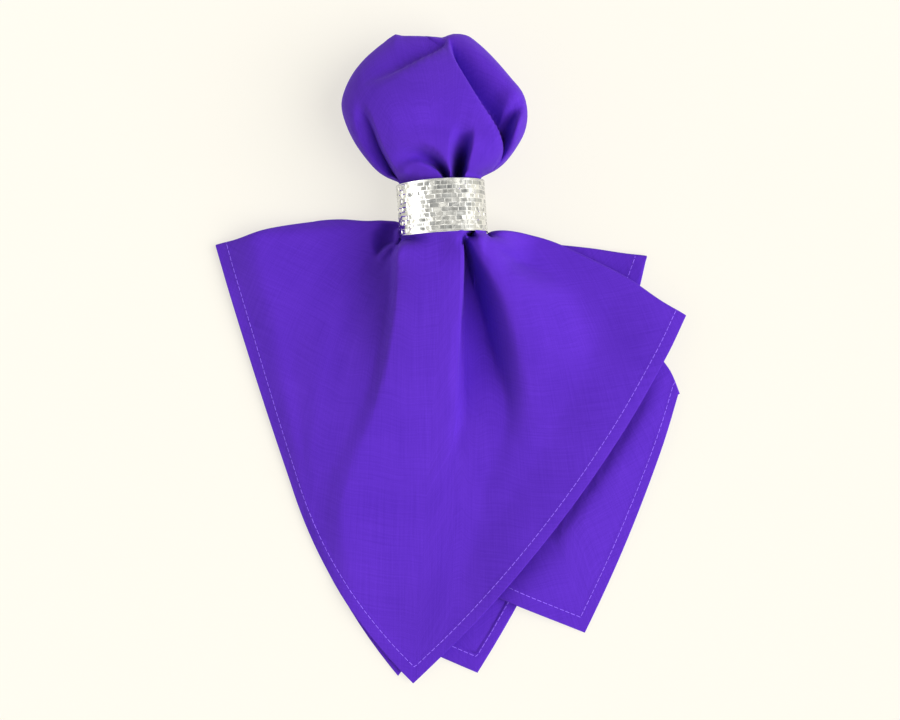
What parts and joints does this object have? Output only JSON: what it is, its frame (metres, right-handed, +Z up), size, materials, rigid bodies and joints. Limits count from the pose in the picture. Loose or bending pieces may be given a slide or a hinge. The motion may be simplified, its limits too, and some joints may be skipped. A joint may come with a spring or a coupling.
{
  "type": "cloth napkin in a ring",
  "caption": "Square cloth napkin drawn through a beaten metal ring: a rounded puff at one end, the hemmed skirt fanned out flat at the other.",
  "frame": {"origin": "under the middle of the napkin's outline, on the surface it lies on", "axes": "+Z up, +Y from the spread skirt towards the puff, +X to the right seen from above"},
  "size_m": [0.2496, 0.3406, 0.053],
  "materials": {
    "napkin_cloth": "matt plain weave with a slight sheen",
    "ring_metal": "bright silver, beaten into small facets"
  },
  "bodies": {
    "root": {"napkin": "napkin_cloth", "ring": "ring_metal"}
  },
  "joints": []
}
